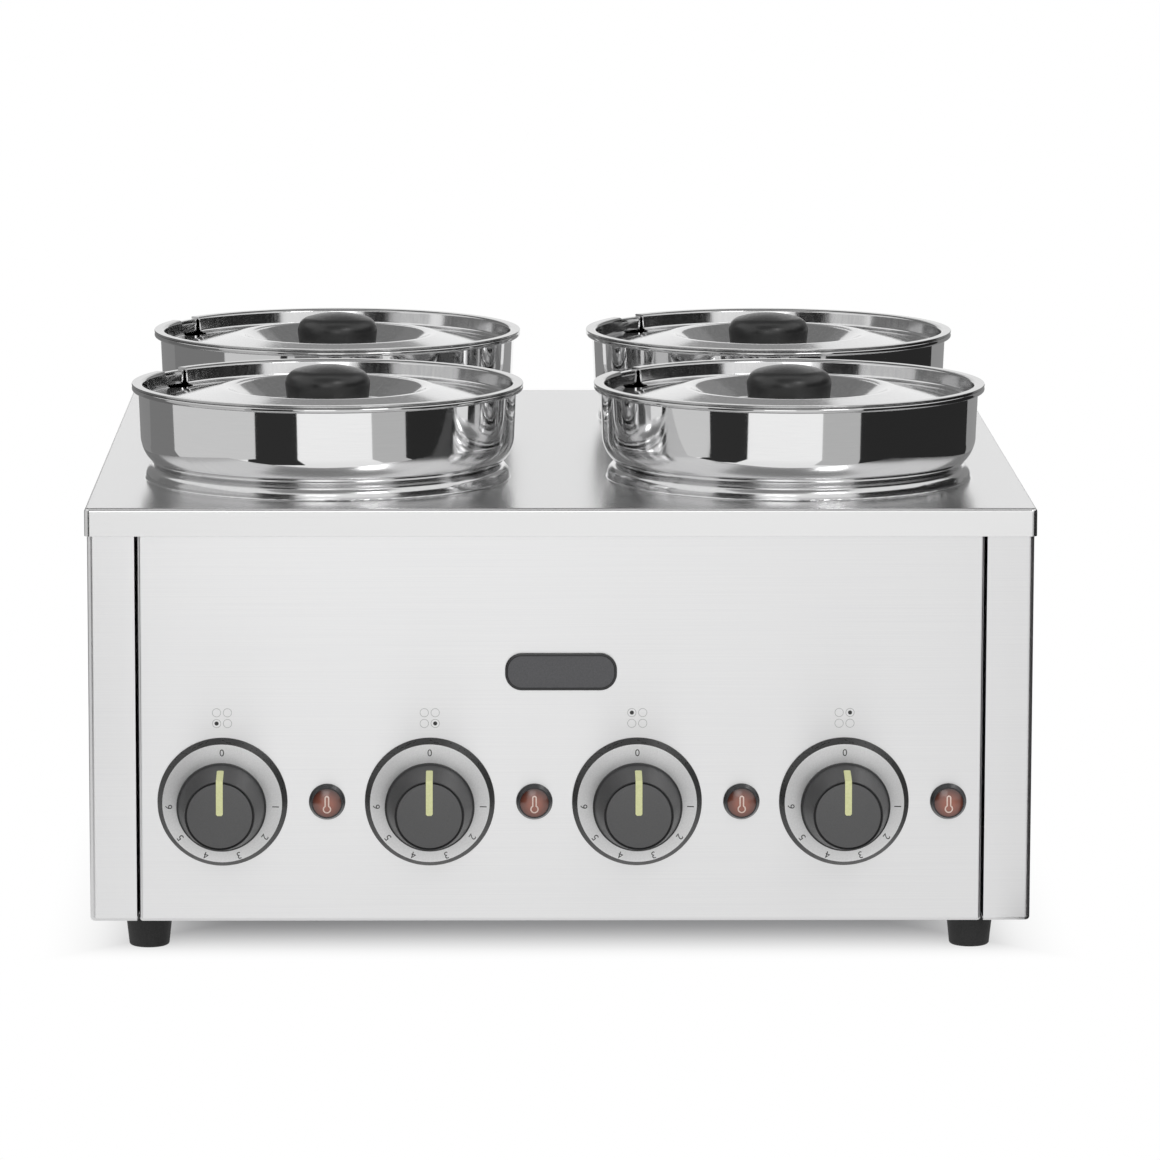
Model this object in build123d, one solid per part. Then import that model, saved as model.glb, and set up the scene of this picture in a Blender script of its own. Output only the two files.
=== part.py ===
from build123d import *
import os
from math import sqrt

# Counter-top bain marie: a stainless casing with four drop-in pots, each with its own well, heating
# element, thermostat dial and signal lamp. Millimetres, +Z up, the controls face -Y. The model is laid
# out about the middle of the deck, and the finished pieces are shifted so that the origin lies on the
# table under the middle of the whole footprint, knobs and cable gland included.

# Sheet metal of the casing
sheet = 1.0
fold = 14.0
bend = 2.0
corner_bend = 3.0
skirt_height = 15.0
skirt_gap = 0.3

# Pots, measured from the seat that rests on the collar
pot_wall = 0.9
pot_neck_radius = 92.2
pot_lower_height = 127.6
pot_bottom_radius = 14.0
pot_shoulder = 11.3
pot_shoulder_height = 19.4
pot_upper_height = 43.2
pot_rim_reach = 3.5
pot_rim_height = 3.0
pot_rim_roll = 1.4
pot_rim_edge = 0.6
pot_gap = 38.5

# Collars pressed up from the deck round each pot, as a rounded bead with a flat land for the seat
collar_clearance = 0.5
collar_land = 1.0
collar_bend = 5.8
collar_rise = 1.8
collar_foot_bend = 0.8
seat_margin = 0.2

# Wells under the deck
well_gap = 5.0
well_floor_gap = 13.0
well_corner = 12.0
well_mouth_bend = 2.5
well_flange = 8.5
fold_gap = 2.95

# Lids, measured from the pot rim
lid_sheet = 0.8
lid_lip_height = 1.2
lid_lip_edge = 0.5
lid_side_gap = 0.7
lid_drop = 9.0
lid_taper = 1.2
lid_trough = 13.0
lid_crest_radius = 55.0
lid_crest_rise = 7.2
lid_crest_bend = 9.0
lid_bend = 2.0
dish_depth = 10.7
dish_floor_radius = 40.0
dish_bend = 4.0
notch_width = 21.0
notch_reach = 15.5
notch_angles = {"front_left": 148.0, "front_right": 148.0, "back_left": 151.0, "back_right": 141.0}

# Knobs of the lids
lid_knob_radius = 23.9
lid_knob_foot_radius = 22.0
lid_knob_waist = 16.8
lid_knob_edge = 8.0
lid_knob_height = 21.8

# Room under the wells for the controls and wiring, and the feet
under_space = 89.0
foot_height = 20.0
foot_top_radius = 13.0
foot_bottom_radius = 10.7
foot_edge = 1.5
foot_inset_x = 29.7
foot_inset_y = 36.7
foot_recess_radius = 6.0
foot_recess_depth = 9.0

# Front panel and the row of controls on it
return_width = 25.0
seam = 1.3
dial_end_margin = 44.7
lamp_end_margin = 18.2
lamp_shift = 0.5
control_height = 65.1
badge_length = 59.5
badge_height = 20.0
badge_thickness = 1.6
badge_corner = 9.0
badge_edge = 0.5
badge_level = 135.3

# Dial rings and control knobs, measured out from the face of the panel
ring_radius = 34.6
ring_face_radius = 31.9
ring_height = 5.6
ring_edge = 0.8
ring_floor = 2.0
ring_recess_radius = 12.0
knob_gap = 1.0
knob_back_radius = 21.6
knob_skirt_radius = 23.85
knob_skirt_height = 16.8
knob_face_radius = 18.1
knob_height = 43.0
knob_edge = 1.2
knob_wall = 2.0
knob_hub_radius = 6.5
knob_hub_start = 10.0

# Thermostats
thermostat_width = 36.0
thermostat_height = 34.0
thermostat_depth = 24.0
bushing_radius = 5.0
bushing_spare = 1.0
shaft_radius = 3.0
shaft_clearance = 0.05
shaft_flat = 1.0
shaft_seat = 8.0
shaft_length_out = 33.0
nut_across_flats = 14.0
nut_height = 3.0
capillary_radius = 1.0
capillary_bend = 5.0
capillary_drop = 8.0
capillary_lane = 6.0
capillary_first_lane = 10.0
capillary_first_level = 20.0
capillary_run_in = 15.0
bulb_radius = 3.0
bulb_length = 60.0
bulb_shift = 12.0
bulb_setback = 45.0

# Signal lamps
lamp_bezel_radius = 9.7
lamp_bezel_edge = 0.8
lamp_bezel_height = 4.5
lamp_front_radius = 8.3
lamp_body_radius = 6.7
lamp_body_depth = 21.0
lamp_blade = (6.3, 0.8, 8.0)
lamp_blade_spread = 3.5
lens_radius = 7.6
lens_seat = 2.0
lens_crown = 1.5
lens_clearance = 0.1

# Heating elements
element_ring_radius = 62.0
element_radius = 4.0
element_flat = 1.0
element_arc = 320.0
cold_end_radius = 3.5
cold_end_length = 25.0
element_blade = (6.3, 0.8, 8.0)

# Base plate, vents, cable entry and terminal block
base_thickness = 1.2
base_gap = 1.0
vent_length = 36.0
vent_width = 4.0
vent_pitch = 14.0
vent_count = 8
vent_inset = 141.2
back_vent_level = 60.0
base_vent_group_y = 60.0
gland_inset = 71.2
gland_level = 35.0
gland_thread_radius = 8.0
gland_thread_length = 9.0
gland_hex = 24.0
gland_hex_height = 6.0
gland_cap_radius = 11.0
gland_cap_edge = 3.0
gland_reach = 20.0
gland_bore_radius = 4.6
locknut_hex = 22.0
locknut_height = 5.0
terminal_size = (46.0, 22.0, 18.0)
terminal_inset_x = 111.2
terminal_inset_y = 56.2
terminal_ways = 3
terminal_bore_radius = 2.6

# Fasteners
hole_clearance = 0.1
casing_screw_radius = 2.0
casing_screw_head = 3.8
casing_screw_length = 8.0
casing_screw_spread = 150.0
foot_screw_radius = 2.5
foot_screw_head = 4.75
foot_screw_head_height = 3.0
foot_screw_spare = 6.0
lid_screw_radius = 2.5
lid_screw_head = 4.5
lid_screw_head_height = 2.4
lid_screw_length = 12.0
screw_slot_width = 1.0
screw_slot_depth = 1.0

# Sizes that follow from the pots outwards
rim_radius = pot_neck_radius + pot_shoulder + pot_rim_reach
pot_pitch = 2 * rim_radius + pot_gap
collar_inner = pot_neck_radius + collar_clearance
collar_outer = collar_inner + collar_land
collar_foot = collar_outer + collar_bend
collar_height = collar_bend + collar_rise
well_radius = pot_neck_radius + well_gap
well_flange_radius = collar_foot + well_flange
deck_margin = well_flange_radius + fold_gap + fold + skirt_gap + sheet
deck_width = pot_pitch + 2 * deck_margin
deck_depth = pot_pitch + 2 * deck_margin
body_width = deck_width - 2 * (sheet + skirt_gap)
body_depth = deck_depth - 2 * (sheet + skirt_gap)
front_face = -body_depth / 2
back_face = body_depth / 2
panel_half = body_width / 2 - return_width - seam
control_row = 2 * panel_half - dial_end_margin - lamp_end_margin
gland_x = body_width / 2 - gland_inset
vent_group_x = body_width / 2 - vent_inset
terminal_place = (body_width / 2 - terminal_inset_x, body_depth / 2 - terminal_inset_y)

# Levels from the table upwards
casing_bottom = foot_height
base_under = casing_bottom + sheet
base_top = base_under + base_thickness
well_under = casing_bottom + under_space
well_floor = well_under + sheet
pot_bottom = well_floor + well_floor_gap
seat_level = pot_bottom + pot_lower_height
deck_top = seat_level - collar_height
deck_under = deck_top - sheet
rim_level = seat_level + pot_upper_height
lip_level = rim_level + lid_lip_height
trough_level = lip_level - lid_drop
crest_level = trough_level + lid_crest_rise
dish_level = crest_level - dish_depth
control_level = casing_bottom + control_height
footprint_shift = (knob_height - gland_reach) / 2

stations = {"front_left": (-1, -1), "front_right": (1, -1), "back_left": (-1, 1), "back_right": (1, 1)}

# Each lamp stands about midway to the next dial, so the row is half a step short of a dial for each pot
dial_pitch = (control_row - lamp_shift) / (len(stations) - 0.5)
lamp_offset = dial_pitch / 2 + lamp_shift


def turned(outline):
    """Solid turned about Z from a closed outline drawn as (radius, height)."""
    return revolve(Plane.XZ * make_face(outline), Axis.Z)


def drawn_sheet(points, radii, thickness):
    """Sheet of revolution whose upper or inner face runs through the points, from the edge to the axis."""
    face_line = FilletPolyline(*points, radius=radii)
    return turned(offset(face_line, thickness, side=Side.LEFT).edges())


def crown(radius, low, rise):
    """Arc of a dome from its rim in to the axis."""
    sphere = (radius ** 2 + rise ** 2) / (2 * rise)
    middle = radius / 2
    middle_level = low + rise - sphere + sqrt(sphere ** 2 - middle ** 2)
    return ThreePointArc((radius, low), (middle, middle_level), (0, low + rise))


def disc(radius, low, high):
    """Round bar about Z between two heights."""
    return Pos(0, 0, low) * Cylinder(radius, high - low, align=(Align.CENTER, Align.CENTER, Align.MIN))


def hexagon(across_flats, low, high):
    """Hexagonal bar about Z between two heights."""
    return Pos(0, 0, low) * extrude(RegularPolygon(across_flats / 2, 6, major_radius=False), high - low)


def block(x_span, y_span, z_span):
    """Box given by its limits along each axis."""
    spans = (x_span, y_span, z_span)
    size = [high - low for low, high in spans]
    middle = [(high + low) / 2 for low, high in spans]
    return Pos(*middle) * Box(*size)


def on_front(x, z):
    """Plane on the front panel's face, looking outwards."""
    return Plane(origin=(x, front_face, z), x_dir=(1, 0, 0), z_dir=(0, -1, 0))


def on_back(x, z):
    """Plane on the back of the casing, looking outwards."""
    return Plane(origin=(x, back_face, z), x_dir=(-1, 0, 0), z_dir=(0, 1, 0))


def at_pot(station):
    """Place of a pot's axis on the deck."""
    side, row = stations[station]
    return Pos(side * pot_pitch / 2, row * pot_pitch / 2, 0)


def dial_x(number):
    """Place of a dial along the front, counted from the left."""
    return -panel_half + dial_end_margin + number * dial_pitch


def screw(radius, head, head_height, length):
    """Slotted screw pointing up, its head hanging below the seat at height 0."""
    slot = Pos(0, 0, -head_height) * Box(2 * head, screw_slot_width, 2 * screw_slot_depth)
    return disc(head, -head_height, 0) + disc(radius, 0, length) - slot


def folded_shell(width, depth, low, high, corner, top_bend, bottom_bend):
    """Closed sheet box with bent edges, its sheet lying inside the given size."""
    def solid(inset):
        body = block(
            (-width / 2 + inset, width / 2 - inset),
            (-depth / 2 + inset, depth / 2 - inset),
            (low + inset, high - inset),
        )
        body = fillet(body.edges().filter_by(Axis.Z), corner - inset)
        body = fillet(body.faces().sort_by(Axis.Z)[-1].edges(), top_bend - inset)
        return fillet(body.faces().sort_by(Axis.Z)[0].edges(), bottom_bend - inset)

    return solid(0) - solid(sheet)


# Casing

def casing_screw_places():
    """Places of the screws through the bottom folds, as (x, y)."""
    side = body_width / 2 - fold / 2
    end = body_depth / 2 - fold / 2
    spread = casing_screw_spread
    sides = [(sx * side, y) for sx in (-1, 1) for y in (-spread, 0, spread)]
    ends = [(x, sy * end) for sy in (-1, 1) for x in (-spread, spread)]
    return sides + ends


def foot_places():
    """Places of the feet, as (x, y)."""
    x = body_width / 2 - foot_inset_x
    y = body_depth / 2 - foot_inset_y
    return [(sx * x, sy * y) for sx in (-1, 1) for sy in (-1, 1)]


def countersink(clearance):
    """Cone of a casing screw's head, flush with the underside of the folds."""
    head = Cone(
        casing_screw_head + clearance,
        casing_screw_radius + clearance,
        casing_screw_head - casing_screw_radius,
        align=(Align.CENTER, Align.CENTER, Align.MIN),
    )
    return Pos(0, 0, casing_bottom) * head


def casing_screw_holes():
    hole = disc(casing_screw_radius + hole_clearance, casing_bottom - sheet, base_top + sheet)
    hole += countersink(hole_clearance)
    return [Pos(x, y, 0) * hole for x, y in casing_screw_places()]


def vent_slots(plane):
    """Two groups of upright slots cut through a sheet at a plane."""
    middle = (vent_count - 1) / 2
    places = [side * vent_group_x + (k - middle) * vent_pitch for side in (-1, 1) for k in range(vent_count)]
    slot = extrude(SlotOverall(vent_length, vent_width, rotation=90), 2 * sheet + base_thickness, both=True)
    return [plane * Pos(x, 0, 0) * slot for x in places]


def top_deck():
    """Deck with its skirt, and the four beaded collars pressed up round the pot holes."""
    shell = folded_shell(
        deck_width, deck_depth, deck_top - 2 * skirt_height, deck_top, corner_bend, bend, bend
    )
    reach = deck_width + deck_depth
    shell -= block((-reach, reach), (-reach, reach), (deck_top - 3 * skirt_height, deck_top - skirt_height))
    top = deck_top + collar_height
    foot_edge = collar_foot + collar_foot_bend
    points = [
        (foot_edge + sheet, deck_top),
        (collar_foot, deck_top),
        (collar_foot, top),
        (collar_inner, top),
    ]
    collar = drawn_sheet(points, [collar_foot_bend, collar_bend], sheet)
    hole = disc(foot_edge, deck_under - sheet, deck_top + sheet)
    shell -= [at_pot(name) * hole for name in stations]
    return shell + [at_pot(name) * collar for name in stations]


def body_wrap():
    """Left side, back and right side in one sheet, with narrow returns on the front."""
    shell = folded_shell(body_width, body_depth, casing_bottom, deck_under, corner_bend, bend, bend)
    through = (casing_bottom - sheet, deck_under + sheet)
    inside_x = body_width / 2 - fold
    inside_y = body_depth / 2 - fold
    shell -= block((-inside_x, inside_x), (-inside_y, inside_y), through)
    mouth = panel_half + seam
    shell -= block((-mouth, mouth), (front_face - fold, front_face + 2 * fold), through)
    shell -= vent_slots(on_back(0, casing_bottom + back_vent_level))
    gland_hole = disc(gland_thread_radius + hole_clearance, -2 * sheet, sheet)
    shell -= on_back(gland_x, casing_bottom + gland_level) * gland_hole
    return shell - casing_screw_holes()


def front_panel():
    """Shallow pan between the returns, open at the back, with the holes for the controls."""
    depth = 2 * fold
    pan = folded_shell(2 * panel_half, depth, casing_bottom, deck_under, bend, bend, bend)
    pan -= block((-panel_half, panel_half), (0, depth), (casing_bottom - sheet, deck_under + sheet))
    pan = Pos(0, front_face + fold, 0) * pan
    through = (-2 * sheet, sheet)
    for number in range(len(stations)):
        x = dial_x(number)
        pan -= on_front(x, control_level) * disc(bushing_radius + hole_clearance, *through)
        pan -= on_front(x + lamp_offset, control_level) * disc(lamp_body_radius + hole_clearance, *through)
    return pan - casing_screw_holes()


def base_plate():
    """Vented plate lying on the bottom folds, notched for the side folds of the front panel."""
    half_x = body_width / 2 - sheet - base_gap
    half_y = body_depth / 2 - sheet - base_gap
    plate = block((-half_x, half_x), (-half_y, half_y), (base_under, base_top))
    plate = fillet(plate.edges().filter_by(Axis.Z), corner_bend)
    for side in (-1, 1):
        middle = side * (panel_half - sheet / 2)
        half_notch = sheet / 2 + base_gap
        plate -= block(
            (middle - half_notch, middle + half_notch),
            (front_face, front_face + fold + base_gap),
            (base_under - sheet, base_top + sheet),
        )
    foot_hole = disc(foot_screw_radius + hole_clearance, base_under - sheet, base_top + sheet)
    plate -= [Pos(x, y, 0) * foot_hole for x, y in foot_places()]
    for row in (-1, 1):
        plate -= vent_slots(Plane(origin=(0, row * base_vent_group_y, base_top)))
    return plate - casing_screw_holes()


def badge_plate():
    """Plain rounded plate stuck on the front panel."""
    plate = extrude(RectangleRounded(badge_length, badge_height, badge_corner), badge_thickness)
    plate = chamfer(plate.faces().sort_by(Axis.Z)[-1].edges(), badge_edge)
    return on_front(0, casing_bottom + badge_level) * plate


def rubber_foot():
    """Tapered foot with a recess for the screw's head, standing on the table."""
    foot = Cone(
        foot_bottom_radius, foot_top_radius, base_under, align=(Align.CENTER, Align.CENTER, Align.MIN)
    )
    foot = fillet(foot.faces().sort_by(Axis.Z)[0].edges(), foot_edge)
    foot -= disc(foot_recess_radius, 0, foot_recess_depth)
    return foot - disc(foot_screw_radius + hole_clearance, 0, base_under)


def foot_screw():
    length = base_top - foot_recess_depth + foot_screw_spare
    return Pos(0, 0, foot_recess_depth) * screw(
        foot_screw_radius, foot_screw_head, foot_screw_head_height, length
    )


def casing_screw():
    """Countersunk slotted screw."""
    slot = Pos(0, 0, casing_bottom) * Box(2 * casing_screw_head, screw_slot_width, 2 * screw_slot_depth)
    shank = disc(casing_screw_radius, casing_bottom, casing_bottom + casing_screw_length)
    return countersink(0) + shank - slot


def cable_gland():
    """Gland through the back, with its thread inside and its domed cap outside."""
    gland = disc(gland_thread_radius, -sheet - gland_thread_length, 0)
    gland += hexagon(gland_hex, 0, gland_hex_height)
    cap = disc(gland_cap_radius, gland_hex_height, gland_reach)
    gland += fillet(cap.faces().sort_by(Axis.Z)[-1].edges(), gland_cap_edge)
    gland -= disc(gland_bore_radius, -sheet - gland_thread_length, gland_reach)
    return on_back(gland_x, casing_bottom + gland_level) * gland


def gland_locknut():
    nut = hexagon(locknut_hex, -sheet - locknut_height, -sheet)
    nut -= disc(gland_thread_radius + hole_clearance, -2 * sheet - locknut_height, 0)
    return on_back(gland_x, casing_bottom + gland_level) * nut


def terminal_block():
    """Insulated block on the base plate, with a way for each conductor."""
    length, depth, height = terminal_size
    body = Pos(*terminal_place, base_top + height / 2) * Box(*terminal_size)
    way = Rot(90, 0, 0) * Cylinder(terminal_bore_radius, 2 * depth)
    step = length / terminal_ways
    for number in range(terminal_ways):
        x = terminal_place[0] + (number - (terminal_ways - 1) / 2) * step
        body -= Pos(x, terminal_place[1], base_top + height / 2) * way
    return body


# Station under each pot

def well():
    """Drawn cup whose flange is welded under the deck."""
    points = [
        (well_flange_radius, deck_under),
        (well_radius, deck_under),
        (well_radius, well_floor),
        (0, well_floor),
    ]
    return drawn_sheet(points, [well_mouth_bend, well_corner], sheet)


def heating_element(station):
    """Tubular ring pressed flat against the well floor, its cold ends facing the middle of the casing."""
    middle = well_under + element_flat - element_radius
    section = Pos(element_ring_radius, middle) * Circle(element_radius)
    cut_height = 2 * element_radius
    section -= Pos(element_ring_radius, well_under + cut_height / 2) * Rectangle(cut_height, cut_height)
    element = revolve(Plane.XZ * section, Axis.Z, element_arc)
    blade_width, blade_thickness, blade_length = element_blade
    low = middle - cold_end_length
    end = disc(cold_end_radius, low, middle)
    end += Pos(0, 0, low - blade_length / 2) * Box(blade_thickness, blade_width, blade_length)
    for angle in (0, element_arc):
        element += Rot(0, 0, angle) * Pos(element_ring_radius, 0, 0) * end
    side, row = stations[station]
    inwards = Vector(-side, -row).get_signed_angle(Vector(1, 0))
    return Rot(0, 0, -inwards - (element_arc + 360) / 2) * element


def thermostat(number, station):
    """Body behind the panel with its bushing through it, and the capillary led to the bulb under the well."""
    back = -sheet - thermostat_depth
    front = ring_floor + nut_height + bushing_spare
    body = block(
        (-thermostat_width / 2, thermostat_width / 2),
        (-thermostat_height / 2, thermostat_height / 2),
        (back, -sheet),
    )
    body += disc(bushing_radius, -sheet, front)
    body -= disc(shaft_radius + shaft_clearance, -sheet - shaft_seat, front)
    body = on_front(dial_x(number), control_level) * body

    side, row = stations[station]
    x = dial_x(number)
    rear = front_face - back
    lane = rear + capillary_first_lane + number * capillary_lane
    start_level = control_level - capillary_drop
    level = casing_bottom + capillary_first_level + number * capillary_lane
    bulb_x = side * pot_pitch / 2 - row * bulb_shift
    riser = row * pot_pitch / 2 - bulb_setback
    bulb_level = well_under - bulb_radius
    bulb_start = riser + capillary_run_in
    route = FilletPolyline(
        (x, rear - sheet, start_level),
        (x, lane, start_level),
        (x, lane, level),
        (bulb_x, lane, level),
        (bulb_x, riser, level),
        (bulb_x, riser, bulb_level),
        (bulb_x, bulb_start + sheet, bulb_level),
        radius=capillary_bend,
    )
    tube = sweep(Plane(origin=route @ 0, z_dir=route % 0) * Circle(capillary_radius), route)
    bulb = Plane(origin=(bulb_x, bulb_start, bulb_level), z_dir=(0, 1, 0)) * disc(bulb_radius, 0, bulb_length)
    return body + tube + bulb


def thermostat_shaft(number):
    """Round shaft with a flat for the knob, turning in the bushing."""
    shaft = disc(shaft_radius, -sheet - shaft_seat, shaft_length_out)
    flat_level = shaft_radius - shaft_flat
    shaft -= block(
        (-shaft_radius, shaft_radius), (flat_level, shaft_radius), (knob_hub_start, shaft_length_out)
    )
    return on_front(dial_x(number), control_level) * shaft


def thermostat_nut(number):
    nut = hexagon(nut_across_flats, ring_floor, ring_floor + nut_height)
    nut -= disc(bushing_radius + hole_clearance, ring_floor, ring_floor + nut_height)
    return on_front(dial_x(number), control_level) * nut


def dial_ring(number):
    """Bevelled ring that carries the scale, held by the nut in its recess."""
    hole = bushing_radius + hole_clearance
    outline = Polyline(
        (hole, 0),
        (ring_radius, 0),
        (ring_radius, ring_edge),
        (ring_face_radius, ring_height),
        (ring_recess_radius, ring_height),
        (ring_recess_radius, ring_floor),
        (hole, ring_floor),
        close=True,
    )
    return on_front(dial_x(number), control_level) * turned(outline)


def control_knob(number):
    """Hollow tapered knob with a hub on the flatted shaft."""
    start = ring_height + knob_gap
    slope = (knob_skirt_radius - knob_face_radius) / (knob_height - knob_skirt_height)
    inner_top = knob_height - knob_wall
    outside = Polyline(
        (0, start),
        (knob_back_radius, start),
        (knob_skirt_radius, knob_skirt_height),
        (knob_face_radius, knob_height),
        (0, knob_height),
        close=True,
    )
    inside = Polyline(
        (0, start),
        (knob_back_radius - knob_wall, start),
        (knob_skirt_radius - knob_wall, knob_skirt_height),
        (knob_face_radius - knob_wall + slope * knob_wall, inner_top),
        (0, inner_top),
        close=True,
    )
    knob = turned(outside)
    rims = knob.edges().filter_by(GeomType.CIRCLE).sort_by(Axis.Z)
    knob = fillet(rims[-2:], knob_edge)
    knob -= turned(inside)
    knob += disc(knob_hub_radius, knob_hub_start, inner_top)
    bore = disc(shaft_radius + shaft_clearance, knob_hub_start, shaft_length_out)
    flat_level = shaft_radius - shaft_flat + shaft_clearance
    reach = 2 * shaft_radius
    bore -= block((-reach, reach), (flat_level, reach), (knob_hub_start, shaft_length_out))
    return on_front(dial_x(number), control_level) * (knob - bore)


def lamp_housing(number):
    """Push-in lamp with a tapered bezel outside the panel and its blades inside."""
    back = -sheet - lamp_body_depth
    outline = Polyline(
        (0, back),
        (lamp_body_radius, back),
        (lamp_body_radius, 0),
        (lamp_bezel_radius, 0),
        (lamp_bezel_radius, lamp_bezel_edge),
        (lamp_front_radius, lamp_bezel_height),
        (lens_radius + lens_clearance, lamp_bezel_height),
        (lens_radius + lens_clearance, lens_seat),
        (0, lens_seat),
        close=True,
    )
    housing = turned(outline)
    blade_width, blade_thickness, blade_length = lamp_blade
    for side in (-1, 1):
        housing += Pos(side * lamp_blade_spread, 0, back - blade_length / 2) * Box(
            blade_thickness, blade_width, blade_length
        )
    return on_front(dial_x(number) + lamp_offset, control_level) * housing


def lamp_lens(number):
    """Coloured lens with a low crown, seated in the bezel."""
    outline = [
        Line((0, lens_seat), (lens_radius, lens_seat)),
        Line((lens_radius, lens_seat), (lens_radius, lamp_bezel_height)),
        crown(lens_radius, lamp_bezel_height, lens_crown),
        Line((0, lamp_bezel_height + lens_crown), (0, lens_seat)),
    ]
    return on_front(dial_x(number) + lamp_offset, control_level) * turned(outline)


# Pots and lids

def pot_outline(inset, top):
    """Outline of a stepped pot, filled to the axis, drawn inside its outer face by an inset."""
    seat_width = collar_clearance + collar_land + seat_margin
    run = pot_shoulder - seat_width
    bulge = (run ** 2 + pot_shoulder_height ** 2) / (2 * run)
    wall_start = seat_level + pot_shoulder_height
    wall = pot_neck_radius + pot_shoulder - inset
    centre = pot_neck_radius + pot_shoulder - bulge
    neck = pot_neck_radius - inset
    seat = seat_level + inset
    arc_start = centre + sqrt((bulge - inset) ** 2 - (wall_start - seat) ** 2)
    turn = 0.5 * (arc_start - centre + bulge - inset)
    arc_mid = (centre + turn, wall_start - sqrt((bulge - inset) ** 2 - turn ** 2))
    lower = FilletPolyline(
        (0, pot_bottom + inset),
        (neck, pot_bottom + inset),
        (neck, seat),
        (arc_start, seat),
        radius=[pot_bottom_radius - inset, 0],
    )
    shoulder = ThreePointArc((arc_start, seat), arc_mid, (wall, wall_start))
    upper = Polyline((wall, wall_start), (wall, top), (0, top), (0, pot_bottom + inset))
    return lower.edges() + shoulder.edges() + upper.edges()


def pot():
    """Deep-drawn stepped pot with a rolled rim."""
    rim_low = rim_level - pot_rim_height
    inner = pot_neck_radius + pot_shoulder - pot_wall
    rim = Pos((inner + rim_radius) / 2, (rim_low + rim_level) / 2) * Rectangle(
        rim_radius - inner, pot_rim_height
    )
    corners = rim.vertices().sort_by(Axis.X)
    rim = fillet(corners[-2:], pot_rim_roll)
    rim = fillet(rim.vertices().sort_by(Axis.X)[:2].sort_by(Axis.Y)[-1], pot_rim_edge)
    body = turned(pot_outline(0, rim_level - pot_rim_height / 2))
    body += revolve(Plane.XZ * rim, Axis.Z)
    return body - turned(pot_outline(pot_wall, rim_level + pot_rim_height))


def lid(station):
    """Drop-in lid: lip on the pot rim, trough, cone up to a crest, and a dish for the knob."""
    drop_radius = pot_neck_radius + pot_shoulder - pot_wall - lid_side_gap - lid_sheet
    lip_inner = (drop_radius + rim_radius) / 2
    points = [
        (lip_inner, lip_level),
        (drop_radius, lip_level),
        (drop_radius - lid_taper, trough_level),
        (drop_radius - lid_trough, trough_level),
        (lid_crest_radius, crest_level),
        (dish_floor_radius, dish_level),
        (0, dish_level),
    ]
    body = drawn_sheet(points, [lid_bend, lid_bend, lid_bend, lid_crest_bend, dish_bend], lid_sheet)
    lip_start = drop_radius + lid_sheet + lid_bend
    lip = Pos((lip_start + rim_radius) / 2, rim_level + lid_lip_height / 2) * Rectangle(
        rim_radius - lip_start, lid_lip_height
    )
    lip = fillet(lip.vertices().sort_by(Axis.X)[-2:], lid_lip_edge)
    body += revolve(Plane.XZ * lip, Axis.Z)
    notch_centre = rim_radius - notch_reach + notch_width / 2
    low = trough_level - lid_drop
    notch = Pos(notch_centre, 0, 0) * disc(notch_width / 2, low, lip_level + lid_drop)
    notch += block(
        (notch_centre, rim_radius + notch_reach),
        (-notch_width / 2, notch_width / 2),
        (low, lip_level + lid_drop),
    )
    body -= Rot(0, 0, notch_angles[station]) * notch
    return body - disc(lid_screw_radius + hole_clearance, dish_level - dish_depth, dish_level + dish_depth)


def lid_knob():
    """Moulded knob standing in the dish, widest near the top, with a domed crown."""
    widest = dish_level + lid_knob_waist
    top = dish_level + lid_knob_height
    outline = [
        Line((0, dish_level), (lid_knob_foot_radius, dish_level)),
        Line((lid_knob_foot_radius, dish_level), (lid_knob_radius, widest)),
        crown(lid_knob_radius, widest, top - widest),
        Line((0, top), (0, dish_level)),
    ]
    profile = make_face(outline)
    profile = fillet(profile.vertices().sort_by(Axis.X)[-1], lid_knob_edge)
    hole = disc(lid_screw_radius + hole_clearance, dish_level, dish_level + lid_screw_length)
    return revolve(Plane.XZ * profile, Axis.Z) - hole


def lid_screw():
    return Pos(0, 0, dish_level - lid_sheet) * screw(
        lid_screw_radius, lid_screw_head, lid_screw_head_height, lid_screw_length
    )


# All pieces by name, groups of like fasteners and feet as several solids in one piece
pieces = {
    "top_deck": top_deck(),
    "body_wrap": body_wrap(),
    "front_panel": front_panel(),
    "base_plate": base_plate(),
    "badge_plate": badge_plate(),
    "rubber_feet": Compound([Pos(x, y, 0) * rubber_foot() for x, y in foot_places()]),
    "foot_screws": Compound([Pos(x, y, 0) * foot_screw() for x, y in foot_places()]),
    "casing_screws": Compound([Pos(x, y, 0) * casing_screw() for x, y in casing_screw_places()]),
    "cable_gland": cable_gland(),
    "gland_locknut": gland_locknut(),
    "terminal_block": terminal_block(),
    "thermostat_nuts": Compound([thermostat_nut(number) for number in range(len(stations))]),
}
for number, station in enumerate(stations):
    pieces[f"{station}_well"] = at_pot(station) * well()
    pieces[f"{station}_heating_element"] = at_pot(station) * heating_element(station)
    pieces[f"{station}_thermostat"] = thermostat(number, station)
    pieces[f"{station}_thermostat_shaft"] = thermostat_shaft(number)
    pieces[f"{station}_dial_ring"] = dial_ring(number)
    pieces[f"{station}_control_knob"] = control_knob(number)
    pieces[f"{station}_lamp_housing"] = lamp_housing(number)
    pieces[f"{station}_lamp_lens"] = lamp_lens(number)
    pieces[f"{station}_pot"] = at_pot(station) * pot()
    pieces[f"{station}_lid"] = at_pot(station) * lid(station)
    pieces[f"{station}_lid_knob"] = at_pot(station) * lid_knob()
    pieces[f"{station}_lid_screw"] = at_pot(station) * lid_screw()

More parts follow.
